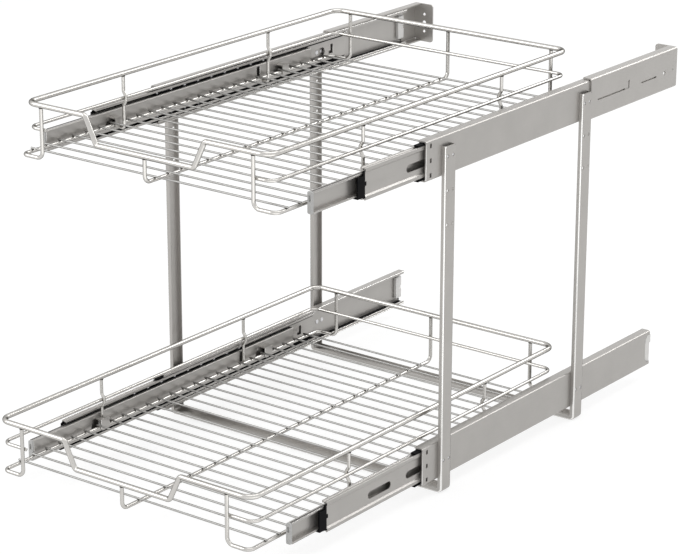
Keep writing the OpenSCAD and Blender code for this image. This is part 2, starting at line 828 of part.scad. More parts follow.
// A side base wire: down from the rim, out to the side, back and up again
module side_base_wire(tier, side) {
    back = basket_length(tier);
    top = rim_rise - rim_wire / 2 + weld;
    on_side(side) wire([[upright_x, 0, top], [upright_x, 0, base_z], [side_wire_x, 0, base_z],
        [side_wire_x, back, base_z], [upright_x, back, base_z], [upright_x, back, top]],
        bend_r, base_wire);
}

module centre_base_wire(tier) {
    back = basket_length(tier);
    top = rim_rise - rim_wire / 2 + weld;
    wire([[0, 0, top - dip_depth], [0, 0, base_z], [0, back, base_z], [0, back, top]],
        bend_r, base_wire);
}

// The side uprights step inwards round the middle rim. On the lower basket
// they run down outside the side wire of the base. On the narrower upper
// basket they turn outwards at the foot and pass under the side wire.
upright_bend = 3;
step_top = 8;
step_half = 2.4;
step_low = 9;
function foot_path(tier, x) = tier == "lower" ?
    [[side_wire_x + (base_wire + side_wire) / 2 - weld, 0, base_z - 1]] :
    [[x, 0, base_z - (base_wire + side_wire) / 2 + weld],
     [side_wire_x + 1, 0, base_z - (base_wire + side_wire) / 2 + weld]];

module side_uprights(tier) {
    half = basket_width(tier) / 2;
    step = (mid_wire + side_wire) / 2 - weld;
    z = rim_rise - mid_rim_drop;
    foot = foot_path(tier, half);
    both_sides() for (gap = upright_gaps) translate([0, gap_from_front(tier, gap), 0])
        wire(concat([[half, 0, rim_rise - rim_wire / 2 + weld], [half, 0, z + step_top],
                     [half - step, 0, z + step_half], [half - step, 0, z - step_half],
                     [foot[0].x, 0, z - step_low]], foot), upright_bend, side_wire);
}

// The cross wires end a little outside the side wires
cross_over = 3;

module cross_wires(tier) {
    z = base_z + (base_wire + cross_wire) / 2 - weld;
    end = side_wire_x + cross_over;
    for (i = [0 : cross_count - 1])
        translate([-end, cross_start(tier) + i * cross_pitch, z]) rotate([0, 90, 0])
            cylinder(d = cross_wire, h = 2 * end, $fn = wire_side);
}

module lower_top_rim() { color(bright_wire) placed() basket_place("lower") top_rim("lower"); }
module upper_top_rim() { color(bright_wire) placed() basket_place("upper") top_rim("upper"); }
module lower_mid_rim() { color(bright_wire) placed() basket_place("lower") mid_rim("lower"); }
module upper_mid_rim() { color(bright_wire) placed() basket_place("upper") mid_rim("upper"); }
module lower_left_base_wire() {
    color(bright_wire) placed() basket_place("lower") side_base_wire("lower", "left");
}
module lower_right_base_wire() {
    color(bright_wire) placed() basket_place("lower") side_base_wire("lower", "right");
}
module upper_left_base_wire() {
    color(bright_wire) placed() basket_place("upper") side_base_wire("upper", "left");
}
module upper_right_base_wire() {
    color(bright_wire) placed() basket_place("upper") side_base_wire("upper", "right");
}
module lower_centre_base_wire() {
    color(bright_wire) placed() basket_place("lower") centre_base_wire("lower");
}
module upper_centre_base_wire() {
    color(bright_wire) placed() basket_place("upper") centre_base_wire("upper");
}
module lower_side_uprights() {
    color(bright_wire) placed() basket_place("lower") side_uprights("lower");
}
module upper_side_uprights() {
    color(bright_wire) placed() basket_place("upper") side_uprights("upper");
}
module lower_cross_wires() {
    color(bright_wire) placed() basket_place("lower") cross_wires("lower");
}
module upper_cross_wires() {
    color(bright_wire) placed() basket_place("upper") cross_wires("upper");
}

// ---- Nodes ------------------------------------------------------------------

front_frame();
rear_frame();
lower_left_cover_rail();
lower_right_cover_rail();
lower_left_outer_member();
lower_right_outer_member();
lower_rail_screws();
lower_rail_pads();
lower_left_bumper();
lower_right_bumper();
upper_left_cover_rail();
upper_right_cover_rail();
upper_left_outer_member();
upper_right_outer_member();
height_screws();
upper_rail_pads();
upper_left_bumper();
upper_right_bumper();
left_rear_bracket();
right_rear_bracket();
lower_left_mid_member();
lower_right_mid_member();
lower_slide_guides();
upper_left_mid_member();
upper_right_mid_member();
upper_slide_guides();
lower_outer_cages();
lower_outer_balls();
lower_inner_cages();
lower_inner_balls();
upper_outer_cages();
upper_outer_balls();
upper_inner_cages();
upper_inner_balls();
lower_left_drawer_member();
lower_right_drawer_member();
lower_drawer_caps();
upper_left_drawer_member();
upper_right_drawer_member();
upper_drawer_caps();
lower_top_rim();
lower_mid_rim();
lower_left_base_wire();
lower_centre_base_wire();
lower_right_base_wire();
lower_side_uprights();
lower_cross_wires();
upper_top_rim();
upper_mid_rim();
upper_left_base_wire();
upper_centre_base_wire();
upper_right_base_wire();
upper_side_uprights();
upper_cross_wires();
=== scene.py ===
"""The looks of a pull out cabinet basket with two wire tiers on ball slides.

Lengths are in metres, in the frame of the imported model: X across the cabinet,
Y towards its back, Z up from its floor. Every piece rides on a CAD body and
takes its place from the CAD nodes that it stands for.
"""

import json
import math

import bmesh
import bpy
from mathutils import Matrix, Vector


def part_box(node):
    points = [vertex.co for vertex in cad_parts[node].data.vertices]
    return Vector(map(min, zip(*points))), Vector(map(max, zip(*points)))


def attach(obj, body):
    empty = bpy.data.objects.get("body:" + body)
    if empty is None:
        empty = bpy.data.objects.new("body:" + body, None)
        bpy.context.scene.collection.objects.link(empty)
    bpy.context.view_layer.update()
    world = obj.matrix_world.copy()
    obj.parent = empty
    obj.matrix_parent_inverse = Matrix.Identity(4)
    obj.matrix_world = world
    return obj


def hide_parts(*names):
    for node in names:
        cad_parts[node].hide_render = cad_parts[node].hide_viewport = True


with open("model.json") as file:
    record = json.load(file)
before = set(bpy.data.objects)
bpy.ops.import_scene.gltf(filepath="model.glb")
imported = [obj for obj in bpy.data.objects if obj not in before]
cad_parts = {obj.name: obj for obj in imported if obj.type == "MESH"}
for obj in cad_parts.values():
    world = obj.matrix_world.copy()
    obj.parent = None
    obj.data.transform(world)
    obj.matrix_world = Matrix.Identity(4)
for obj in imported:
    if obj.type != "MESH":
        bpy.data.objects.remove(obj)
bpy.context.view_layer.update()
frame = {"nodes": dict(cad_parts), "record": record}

MM = 0.001
TIERS = ("lower", "upper")
SIDES = ("left", "right")

# ---- Camera, at the photograph's viewing angle -------------------------------

CAMERA_PLACE = (1.8317, -2.4164, 1.2359)
CAMERA_TURN = (71.09, -0.07, 37.366)  # degrees about X, Y and Z
CAMERA_LENS = 141.3


def make_camera():
    data = bpy.data.cameras.new("camera")
    data.lens = CAMERA_LENS
    data.sensor_width = 36
    data.clip_start = 0.05
    data.clip_end = 60
    camera = bpy.data.objects.new("camera", data)
    camera.location = CAMERA_PLACE
    camera.rotation_euler = [math.radians(a) for a in CAMERA_TURN]
    bpy.context.scene.collection.objects.link(camera)
    bpy.context.scene.camera = camera


# ---- Studio --------------------------------------------------------------------

FLOOR_SIZE = 16
WORLD_DIFFUSE = 0.55
WORLD_SHOWN = 1.0
FLOOR_GLOW = 0.74
FLOOR_SHOWN_ALBEDO = 0.34
FLOOR_ALBEDO = 0.8
CARD_HEIGHT = 0.6 * MM
DARK_CARD_TONE = 0.06
LIGHT_CARD_TONE = 0.1
LIGHT_CARD_GLOW = 1.7


def node_tree(owner):
    owner.use_nodes = True
    tree = owner.node_tree
    tree.nodes.clear()
    return tree


def add(tree, kind, **values):
    """A new node. Each value sets an input of that name, or an attribute."""
    node = tree.nodes.new(kind)
    for key, value in values.items():
        name = key.replace("_", " ")
        socket = node.inputs.get(name) or node.inputs.get(name.title())
        if socket is not None:
            socket.default_value = value
        else:
            setattr(node, key, value)
    return node


def seen_ray(tree):
    """1 for rays that show the background: camera, glossy and transmission."""
    path = add(tree, "ShaderNodeLightPath")
    either = add(tree, "ShaderNodeMath", operation="MAXIMUM")
    tree.links.new(path.outputs["Is Camera Ray"], either.inputs[0])
    tree.links.new(path.outputs["Is Glossy Ray"], either.inputs[1])
    any_of = add(tree, "ShaderNodeMath", operation="MAXIMUM")
    tree.links.new(either.outputs[0], any_of.inputs[0])
    tree.links.new(path.outputs["Is Transmission Ray"], any_of.inputs[1])
    return any_of.outputs[0]


def make_world():
    world = bpy.data.worlds.new("studio")
    bpy.context.scene.world = world
    tree = node_tree(world)
    soft = add(tree, "ShaderNodeBackground", color=(1, 1, 1, 1), strength=WORLD_DIFFUSE)
    shown = add(tree, "ShaderNodeBackground", color=(1, 1, 1, 1), strength=WORLD_SHOWN)
    mix = add(tree, "ShaderNodeMixShader")
    out = add(tree, "ShaderNodeOutputWorld")
    tree.links.new(seen_ray(tree), mix.inputs[0])
    tree.links.new(soft.outputs[0], mix.inputs[1])
    tree.links.new(shown.outputs[0], mix.inputs[2])
    tree.links.new(mix.outputs[0], out.inputs["Surface"])


def make_floor():
    half = FLOOR_SIZE / 2
    mesh = bpy.data.meshes.new("floor")
    corners = [(-half, -half, 0), (half, -half, 0), (half, half, 0), (-half, half, 0)]
    mesh.from_pydata(corners, [], [(0, 1, 2, 3)])
    floor = bpy.data.objects.new("floor", mesh)
    bpy.context.scene.collection.objects.link(floor)
    material = bpy.data.materials.new("floor_paper")
    tree = node_tree(material)
    lit = add(tree, "ShaderNodeBsdfDiffuse", color=(FLOOR_ALBEDO,) * 3 + (1,))
    glow = add(tree, "ShaderNodeEmission", color=(1, 1, 1, 1), strength=FLOOR_GLOW)
    faint = add(tree, "ShaderNodeBsdfDiffuse", color=(FLOOR_SHOWN_ALBEDO,) * 3 + (1,))
    both = add(tree, "ShaderNodeAddShader")
    mix = add(tree, "ShaderNodeMixShader")
    out = add(tree, "ShaderNodeOutputMaterial")
    tree.links.new(glow.outputs[0], both.inputs[0])
    tree.links.new(faint.outputs[0], both.inputs[1])
    tree.links.new(seen_ray(tree), mix.inputs[0])
    tree.links.new(lit.outputs[0], mix.inputs[1])
    tree.links.new(both.outputs[0], mix.inputs[2])
    tree.links.new(mix.outputs[0], out.inputs["Surface"])
    mesh.materials.append(material)


def card_material(name, tone, glow):
    material = bpy.data.materials.new(name)
    tree = node_tree(material)
    paper = add(tree, "ShaderNodeBsdfDiffuse", color=(tone,) * 3 + (1,))
    light = add(tree, "ShaderNodeEmission", color=(1, 1, 1, 1), strength=glow)
    both = add(tree, "ShaderNodeAddShader")
    out = add(tree, "ShaderNodeOutputMaterial")
    tree.links.new(paper.outputs[0], both.inputs[0])
    tree.links.new(light.outputs[0], both.inputs[1])
    tree.links.new(both.outputs[0], out.inputs["Surface"])
    return material


def card(name, across, along, tone, glow):
    """A dark or a glowing card on the floor that only reflections show.

    across and along are the ends of the card in X and in Y.
    """
    (left, right), (front, back) = across, along
    corners = [(left, front), (right, front), (right, back), (left, back)]
    mesh = bpy.data.meshes.new(name)
    mesh.from_pydata([(x, y, CARD_HEIGHT) for x, y in corners], [], [(0, 1, 2, 3)])
    made = bpy.data.objects.new(name, mesh)
    bpy.context.scene.collection.objects.link(made)
    made.visible_camera = False
    made.visible_diffuse = False
    made.visible_shadow = False
    made.visible_transmission = False
    mesh.materials.append(card_material(f"{name}_paper", tone, glow))


def softbox(name, place, aim, size, radiance):
    data = bpy.data.lights.new(name, "AREA")
    data.shape = "RECTANGLE"
    data.size, data.size_y = size
    data.energy = radiance * math.pi * size[0] * size[1]
    lamp = bpy.data.objects.new(name, data)
    lamp.location = place
    lamp.rotation_euler = (Vector(aim) - Vector(place)).to_track_quat("-Z", "Y").to_euler()
    lamp.visible_camera = False
    bpy.context.scene.collection.objects.link(lamp)


def make_lamps():
    centre = (0, -0.05, 0.25)
    softbox("key", (-2.2, -2.6, 2.0), centre, (2.4, 2.4), 2.6)
    softbox("top", (0.4, 0.4, 3.2), centre, (2.6, 2.6), 1.2)
    softbox("rim", (1.0, 2.6, 1.9), centre, (1.5, 1.1), 4.2)
    card("dark_card", (-3.5, -0.3), (0, 3.6), DARK_CARD_TONE, 0)
    card("light_card", (0.3, 4), (-4, -0.3), LIGHT_CARD_TONE, LIGHT_CARD_GLOW)


# ---- Materials -------------------------------------------------------------------


def principled(name, colour, metallic, roughness):
    material = bpy.data.materials.new(name)
    tree = node_tree(material)
    shader = add(tree, "ShaderNodeBsdfPrincipled", metallic=metallic, roughness=roughness)
    shader.inputs["Base Color"].default_value = (*colour, 1)
    out = add(tree, "ShaderNodeOutputMaterial")
    tree.links.new(shader.outputs[0], out.inputs["Surface"])
    return material, tree, shader


def noise(tree, scale, detail=3, stretch=(1, 1, 1)):
    """A noise pattern fixed to the piece, with stretch times fewer waves a metre."""
    place = add(tree, "ShaderNodeTexCoord")
    mapping = add(tree, "ShaderNodeMapping")
    mapping.inputs["Scale"].default_value = [scale / s for s in stretch]
    pattern = add(tree, "ShaderNodeTexNoise", scale=1.0, detail=detail, roughness=0.55)
    tree.links.new(place.outputs["Object"], mapping.inputs["Vector"])
    tree.links.new(mapping.outputs[0], pattern.inputs["Vector"])
    return pattern.outputs["Fac"]


def spread(tree, value, low, high):
    """Maps the middle of a noise pattern to the range low to high."""
    node = add(tree, "ShaderNodeMapRange", from_min=0.3, from_max=0.7, to_min=low, to_max=high)
    tree.links.new(value, node.inputs["Value"])
    return node.outputs[0]


def two_tone(tree, value, dark, light):
    ramp = add(tree, "ShaderNodeValToRGB")
    ramp.color_ramp.elements[0].position = 0.3
    ramp.color_ramp.elements[0].color = (*dark, 1)
    ramp.color_ramp.elements[1].position = 0.7
    ramp.color_ramp.elements[1].color = (*light, 1)
    tree.links.new(value, ramp.inputs["Fac"])
    return ramp.outputs["Color"]


def bump(tree, shader, value, depth, strength=1.0):
    node = add(tree, "ShaderNodeBump", strength=strength, distance=depth)
    tree.links.new(value, node.inputs["Height"])
    tree.links.new(node.outputs[0], shader.inputs["Normal"])


def shaded(colour, factor):
    return tuple(c * factor for c in colour)


def sheet_steel(name, colour, roughness, grain):
    """Zinc plated sheet: cloudy tone, and fine rolling lines along one axis."""
    material, tree, shader = principled(name, colour, SHEET_METALLIC, roughness)
    clouds = noise(tree, 30, detail=5)
    tree.links.new(
        two_tone(tree, clouds, shaded(colour, 0.965), shaded(colour, 1.03)),
        shader.inputs["Base Color"],
    )
    lines = noise(tree, 1400, detail=2, stretch=grain)
    tree.links.new(
        spread(tree, lines, roughness - 0.03, roughness + 0.04), shader.inputs["Roughness"]
    )
    bump(tree, shader, lines, 0.004 * MM, 0.25)
    return material


def wire_chrome(name, colour, roughness, relief=0.3):
    """Plated drawn wire: bright, with faint lines and wide dull patches."""
    material, tree, shader = principled(name, colour, 1.0, roughness)
    # The dark tint at grazing angles is painted shade along the edges of the wires
    shader.inputs["Specular Tint"].default_value = (*WIRE_EDGE_SHADE, 1)
    patches = noise(tree, 40, detail=3)
    tree.links.new(
        two_tone(tree, patches, shaded(colour, 0.93), colour), shader.inputs["Base Color"]
    )
    tree.links.new(
        spread(tree, patches, roughness - 0.04, roughness + 0.08), shader.inputs["Roughness"]
    )
    bump(tree, shader, noise(tree, 1500), 0.008 * MM, relief)
    return material


def moulded(name, colour, roughness, specular=0.5):
    """Moulded plastic with a fine spark eroded grain."""
    material, tree, shader = principled(name, colour, 0.0, roughness)
    shader.inputs["Specular IOR Level"].default_value = specular
    tone = noise(tree, 90, detail=4)
    tree.links.new(
        two_tone(tree, tone, shaded(colour, 0.92), colour), shader.inputs["Base Color"]
    )
    grain = noise(tree, 2600, detail=2)
    tree.links.new(
        spread(tree, grain, roughness - 0.06, roughness + 0.08), shader.inputs["Roughness"]
    )
    bump(tree, shader, grain, 0.02 * MM, 0.5)
    return material


STEEL = (0.435, 0.42, 0.40)
# Painted shade: a dark reflection tint that darkens the wires where they are seen edge on
WIRE_EDGE_SHADE = (0.12, 0.12, 0.115)  # seen at a grazing angle
SHEET_METALLIC = 0.6
ALONG_Y = (1, 60, 1)
ALONG_Z = (1, 1, 60)

FINISH = {
    "slide_steel": sheet_steel("slide_steel_finish", STEEL, 0.34, ALONG_Y),
    "frame_steel": sheet_steel("frame_steel_finish", shaded(STEEL, 1.04), 0.36, ALONG_Z),
    "basket_wire": wire_chrome("basket_wire_finish", (0.60, 0.585, 0.56), 0.2, 0.05),
    "screw_steel": wire_chrome("screw_steel_finish", (0.72, 0.72, 0.73), 0.24),
    "ball_steel": wire_chrome("ball_steel_finish", (0.62, 0.62, 0.63), 0.08),
    "dark_plastic": moulded("dark_plastic_finish", (0.006, 0.006, 0.007), 0.55, 0.05),
    "pale_plastic": moulded("pale_plastic_finish", (0.86, 0.85, 0.83), 0.45),
    "grey_plastic": moulded("grey_plastic_finish", (0.56, 0.56, 0.55), 0.42),
}

# Painted shade: the raceways and the gaps between slide members are coloured near black, for
# the shadow inside the slides
RACEWAY_PAINTED_SHADE = moulded("raceway_painted_shade", (0.008, 0.008, 0.009), 0.55, 0.05)

# The thin wires of the mat are duller than the bent wires round them
MAT_WIRE = wire_chrome("mat_wire_finish", (0.36, 0.355, 0.345), 0.32, 0.15)

# Painted shade: the weld beads are coloured near black for the shade where two wires cross,
# though the welds are only a little darker
WELD_PAINTED_SHADE = wire_chrome("weld_painted_shade", (0.09, 0.085, 0.08), 0.42)

# Painted highlight: the outer bends of the sheet are coloured near white, for the light they
# catch
BEND_PAINTED_HIGHLIGHT = wire_chrome("bend_painted_highlight", (0.86, 0.85, 0.83), 0.2, 0.05)

# ---- Pieces ------------------------------------------------------------------------


def piece(name, bm, body, slot, replaced=(), smooth_angle=32, first=None, more=()):
    """Makes a piece of the mesh, smooth but for edges sharper than the angle."""
    bmesh.ops.recalc_face_normals(bm, faces=bm.faces)
    limit = math.radians(smooth_angle)
    for face in bm.faces:
        face.smooth = True
    for edge in bm.edges:
        edge.smooth = len(edge.link_faces) == 2 and edge.calc_face_angle(0) < limit
    mesh = bpy.data.meshes.new(name)
    bm.to_mesh(mesh)
    bm.free()
    mesh.materials.append(first or FINISH[slot])
    for material in more:
        mesh.materials.append(material)
    made = bpy.data.objects.new(name, mesh)
    bpy.context.scene.collection.objects.link(made)
    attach(made, body)
    if replaced:
        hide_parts(*replaced)
    return made


# Wires

WIRE_SIDES = 24
BEND_STEP = math.radians(8)
CUT_LENGTH = 0.3  # of the chamfer at a cut end, in radii of the wire
CUT_RADIUS = 0.72


def bent(points, bend, closed=False):
    """The centre line of a wire: straight stretches joined by arcs.

    bend is the radius of the arcs, or a list with a radius for each point.
    """
    points = [Vector(p) for p in points]
    count = len(points)
    bends = bend if isinstance(bend, list) else [bend] * count
    line = []
    for i, corner in enumerate(points):
        if not closed and i in (0, count - 1):
            line.append(corner)
            continue
        before = (corner - points[i - 1]).normalized()
        after = (points[(i + 1) % count] - corner).normalized()
        angle = before.angle(after)
        start = corner - before * bends[i] * math.tan(angle / 2)
        axis = before.cross(after).normalized()
        centre = start + axis.cross(before) * bends[i]
        steps = max(2, math.ceil(angle / BEND_STEP))
        for k in range(steps + 1):
            turn = Matrix.Rotation(angle * k / steps, 3, axis)
            line.append(centre + turn @ (start - centre))
    return line


def tangents(line, closed):
    count = len(line)
    found = []
    for i in range(count):
        ahead = line[(i + 1) % count] if closed or i < count - 1 else line[i]
        behind = line[i - 1] if closed or i > 0 else line[i]
        into, out = (line[i] - behind), (ahead - line[i])
        found.append((into.normalized() + out.normalized()).normalized())
    return found


def sweep(bm, line, radius, closed=False, sides=WIRE_SIDES):
    """Adds a round wire to bm. Its cut ends have a small chamfer."""
    if not closed:
        first = (line[0] - line[1]).normalized()
        last = (line[-1] - line[-2]).normalized()
        chamfer = CUT_LENGTH * radius
        head = [line[0], line[0] - first * chamfer]
        tail = [line[-1] - last * chamfer, line[-1]]
        line = [*head, *line[1:-1], *tail]
    ways = tangents(line, closed)
    across = ways[0].orthogonal().normalized()
    frames = [across]
    for before, after in zip(ways, ways[1:]):
        across = before.rotation_difference(after) @ across
        frames.append(across)
    twist = 0.0
    if closed:
        end = ways[-1].rotation_difference(ways[0]) @ across
        twist = math.atan2(ways[0].dot(end.cross(frames[0])), end.dot(frames[0]))
    rings = []
    for i, (at, way, start) in enumerate(zip(line, ways, frames)):
        wide = radius
        if not closed and i in (0, len(line) - 1):
            wide = CUT_RADIUS * radius
        shift = twist * i / len(line)
        ring = []
        for k in range(sides):
            spin = Matrix.Rotation(2 * math.pi * k / sides + shift, 3, way)
            ring.append(bm.verts.new(at + spin @ start * wide))
        rings.append(ring)
    pairs = list(zip(rings, rings[1:])) + ([(rings[-1], rings[0])] if closed else [])
    for a, b in pairs:
        for k in range(sides):
            bm.faces.new((a[k], a[(k + 1) % sides], b[(k + 1) % sides], b[k]))
    if not closed:
        bm.faces.new(rings[0])
        bm.faces.new(rings[-1])


def wire_piece(name, node, lines, radius, body, closed=False, first=None):
    bm = bmesh.new()
    for line in lines:
        sweep(bm, line, radius, closed)
    return piece(name, bm, body, "basket_wire", [node], smooth_angle=40, first=first)


# Sizes of the bent wires that a node's box doesn't hold
RIM_CORNER = 14 * MM
DIP_CORNER = 5 * MM
MID_RIM_CORNER = 11 * MM
BASE_BEND = 8 * MM
UPRIGHT_BEND = 3 * MM
RIM_R = 3 * MM
MID_R = 2 * MM
BASE_R = 2.25 * MM
SIDE_R = 2 * MM
CROSS_R = 1.2 * MM
WELD = 0.3 * MM
DIP_HALF_TOP = 85 * MM
DIP_HALF_BOTTOM = 69.5 * MM
CROSS_COUNT = 25
STEP_ABOVE = 8 * MM
STEP_HALF = 2.4 * MM
STEP_BELOW = 9 * MM
MID_RIM_PAST = 3 * MM  # from the front uprights to the ends of the middle rim
FOOT_PAST = 1 * MM  # from the middle of the base wire to an upright's end
BEAD_SINK = 0.1 * MM


class Basket:
    """The places of a basket's wires, read from its nodes' boxes."""

    def __init__(self, tier):
        low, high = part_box(f"{tier}_top_rim")
        self.tier = tier
        self.body = f"{tier}_basket"
        self.half = high.x - RIM_R
        self.front, self.back = low.y + RIM_R, high.y - RIM_R
        self.rim_z, self.dip_z = high.z - RIM_R, low.z + RIM_R
        low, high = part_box(f"{tier}_mid_rim")
        self.mid_z = (low.z + high.z) / 2
        self.mid_front, self.mid_back = low.y + MID_R, high.y - MID_R
        low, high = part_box(f"{tier}_right_base_wire")
        self.upright_x, self.side_x = low.x + BASE_R, high.x - BASE_R
        self.base_z = low.z + BASE_R
        low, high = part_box(f"{tier}_cross_wires")
        self.cross_x = high.x
        self.cross_z = (low.z + high.z) / 2
        first, last = low.y + CROSS_R, high.y - CROSS_R
        pitch = (last - first) / (CROSS_COUNT - 1)
        self.cross_ys = [first + pitch * i for i in range(CROSS_COUNT)]
        low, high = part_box(f"{tier}_side_uprights")
        self.side_ys = [low.y + SIDE_R, high.y - SIDE_R]


def top_rim(b):
    points = [
        (-DIP_HALF_BOTTOM, b.front, b.dip_z),
        (DIP_HALF_BOTTOM, b.front, b.dip_z),
        (DIP_HALF_TOP, b.front, b.rim_z),
        (b.half, b.front, b.rim_z),
        (b.half, b.back, b.rim_z),
        (-b.half, b.back, b.rim_z),
        (-b.half, b.front, b.rim_z),
        (-DIP_HALF_TOP, b.front, b.rim_z),
    ]
    bends = [DIP_CORNER] * 3 + [RIM_CORNER] * 4 + [DIP_CORNER]
    line = bent(points, bends, closed=True)
    wire_piece(f"{b.tier}_rim_wire", f"{b.tier}_top_rim", [line], RIM_R, b.body, closed=True)


def mid_rim(b):
    end = b.upright_x - MID_RIM_PAST
    points = [
        (-end, b.mid_front, b.mid_z),
        (-b.half, b.mid_front, b.mid_z),
        (-b.half, b.mid_back, b.mid_z),
        (b.half, b.mid_back, b.mid_z),
        (b.half, b.mid_front, b.mid_z),
        (end, b.mid_front, b.mid_z),
    ]
    line = bent(points, MID_RIM_CORNER)
    wire_piece(f"{b.tier}_mid_wire", f"{b.tier}_mid_rim", [line], MID_R, b.body)


def base_wires(b):
    top = b.rim_z - RIM_R + WELD
    for side, sign in zip(SIDES, (-1, 1)):
        inner, outer = sign * b.upright_x, sign * b.side_x
        points = [
            (inner, b.front, top),
            (inner, b.front, b.base_z),
            (outer, b.front, b.base_z),
            (outer, b.back, b.base_z),
            (inner, b.back, b.base_z),
            (inner, b.back, top),
        ]
        wire_piece(
            f"{b.tier}_{side}_side_wire",
            f"{b.tier}_{side}_base_wire",
            [bent(points, BASE_BEND)],
            BASE_R,
            b.body,
        )
    points = [
        (0, b.front, b.dip_z - RIM_R + WELD),
        (0, b.front, b.base_z),
        (0, b.back, b.base_z),
        (0, b.back, top),
    ]
    wire_piece(
        f"{b.tier}_centre_wire",
        f"{b.tier}_centre_base_wire",
        [bent(points, BASE_BEND)],
        BASE_R,
        b.body,
    )


def upright_line(b, sign, y):
    """A side upright steps in round the middle rim, then goes to its foot."""
    inner = b.half - (MID_R + SIDE_R - WELD)
    if b.tier == "lower":
        foot_x = b.side_x + BASE_R + SIDE_R - WELD
        foot = [(foot_x, b.base_z - FOOT_PAST)]
    else:
        foot_x = b.half
        foot_z = b.base_z - (BASE_R + SIDE_R) + WELD
        foot = [(foot_x, foot_z), (b.side_x + FOOT_PAST, foot_z)]
    profile = [
        (b.half, b.rim_z - RIM_R + WELD),
        (b.half, b.mid_z + STEP_ABOVE),
        (inner, b.mid_z + STEP_HALF),
        (inner, b.mid_z - STEP_HALF),
        (foot_x, b.mid_z - STEP_BELOW),
        *foot,
    ]
    return bent([(sign * x, y, z) for x, z in profile], UPRIGHT_BEND)


def side_uprights(b):
    lines = [upright_line(b, sign, y) for sign in (-1, 1) for y in b.side_ys]
    wire_piece(f"{b.tier}_upright_wires", f"{b.tier}_side_uprights", lines, SIDE_R, b.body)


def cross_wires(b):
    lines = [
        [Vector((-b.cross_x, y, b.cross_z)), Vector((b.cross_x, y, b.cross_z))]
        for y in b.cross_ys
    ]
    node = f"{b.tier}_cross_wires"
    wire_piece(f"{b.tier}_mat_wires", node, lines, CROSS_R, b.body, first=MAT_WIRE)


def nugget(bm, place, along, size):
    """A resistance weld: a small flattened bead, size (length, width, height)."""
    made = bmesh.ops.create_icosphere(bm, subdivisions=2, radius=1.0)
    turn = Vector(along).to_track_quat("X", "Z").to_matrix().to_4x4()
    scale = Matrix.Diagonal((*size, 1))
    bmesh.ops.transform(
        bm, matrix=Matrix.Translation(place) @ turn @ scale, verts=made["verts"]
    )


def welds(b):
    bm = bmesh.new()
    mat_bead = (1.9 * MM, 1.7 * MM, 0.9 * MM)
    end_bead = (2.6 * MM, 2.6 * MM, 1.1 * MM)
    mid_bead = (2.4 * MM, 1.9 * MM, 1 * MM)
    side_bead = (2.2 * MM, 1 * MM, 1.8 * MM)
    contact = b.base_z + BASE_R
    for y in b.cross_ys:
        for x in (-b.side_x, 0, b.side_x):
            nugget(bm, (x, y, contact - BEAD_SINK), (1, 0, 0), mat_bead)
    under_rim = b.rim_z - RIM_R
    for x in (-b.upright_x, b.upright_x):
        for y in (b.front, b.back):
            nugget(bm, (x, y, under_rim), (1, 0, 0), end_bead)
        nugget(bm, (x, b.mid_front - MID_R, b.mid_z), (0, 0, 1), mid_bead)
        nugget(bm, (x, b.mid_back + MID_R, b.mid_z), (0, 0, 1), mid_bead)
    nugget(bm, (0, b.front, b.dip_z - RIM_R), (1, 0, 0), end_bead)
    nugget(bm, (0, b.back, under_rim), (1, 0, 0), end_bead)
    nugget(bm, (0, b.mid_back + MID_R, b.mid_z), (0, 0, 1), mid_bead)
    for sign in (-1, 1):
        for y in b.side_ys:
            nugget(bm, (sign * b.half, y, under_rim), (0, 1, 0), end_bead)
            nugget(bm, (sign * (b.half - MID_R), y, b.mid_z), (0, 0, 1), side_bead)
    # The beads take the near-black painted shade of the wire crossings
    piece(f"{b.tier}_welds", bm, b.body, "basket_wire", smooth_angle=180, first=WELD_PAINTED_SHADE)


# Sheet metal and moulded pieces: the CAD solid with its edges rounded off

SHEET_SMOOTH = 35  # degrees
SHARP = math.radians(SHEET_SMOOTH)
NEAR = 0.02 * MM
SAME_POINT = 0.002 * MM
NO_LENGTH = 0.001 * MM
LONG = 40 * MM
TALL = 10 * MM
OUTER_BEND = 1.7 * MM
FINE_EDGE = 0.45 * MM
SLIDE_BEND = 0.5 * MM
SLIDE_EDGE = 0.15 * MM
BRACKET_EDGE = 0.25 * MM
BUMPER_EDGE = 0.4 * MM
GUIDE_EDGE = 0.25 * MM
PAD_EDGE = 0.35 * MM
CAP_EDGE = 0.25 * MM
CAGE_EDGE = 0.08 * MM
FRAME_FLANGE = 5.4 * MM
COVER_SHEET = 1.2 * MM

# Where the balls run, in mm: heights from a slide's middle, depths from its rail's face
MID_INNER = ((12.4, 16.4), (3.4, 10.15))
MID_OUTER = ((16.9, math.inf), (4.6, 8.4))
OUTER_BAND = ((16.5, 21.6), (2.3, 9.4))
DRAWER_BAND = ((11.6, math.inf), (6.4, 10.4))


def body_of(node):
    for body, nodes in frame["record"]["behaviour"]["bodies"].items():
        if node in nodes:
            return body
    raise ValueError(node)


def solid_piece(node, suffix, bm, slot, more=()):
    """A piece for a node, whose wide flat faces set the shading of its rolled edges."""
    name = f"{node}_{suffix}"
    made = piece(name, bm, body_of(node), slot, [node], smooth_angle=SHEET_SMOOTH, more=more)
    modifier = made.modifiers.new("flat_faces", "WEIGHTED_NORMAL")
    modifier.mode = "FACE_AREA"
    modifier.weight = 100
    modifier.keep_sharp = True


def solid_of(node):
    """The mesh of a CAD node, with its double points joined."""
    bm = bmesh.new()
    bm.from_mesh(frame["nodes"][node].data)
    bmesh.ops.remove_doubles(bm, verts=bm.verts, dist=SAME_POINT)
    bmesh.ops.dissolve_degenerate(bm, edges=bm.edges, dist=NO_LENGTH)
    return bm


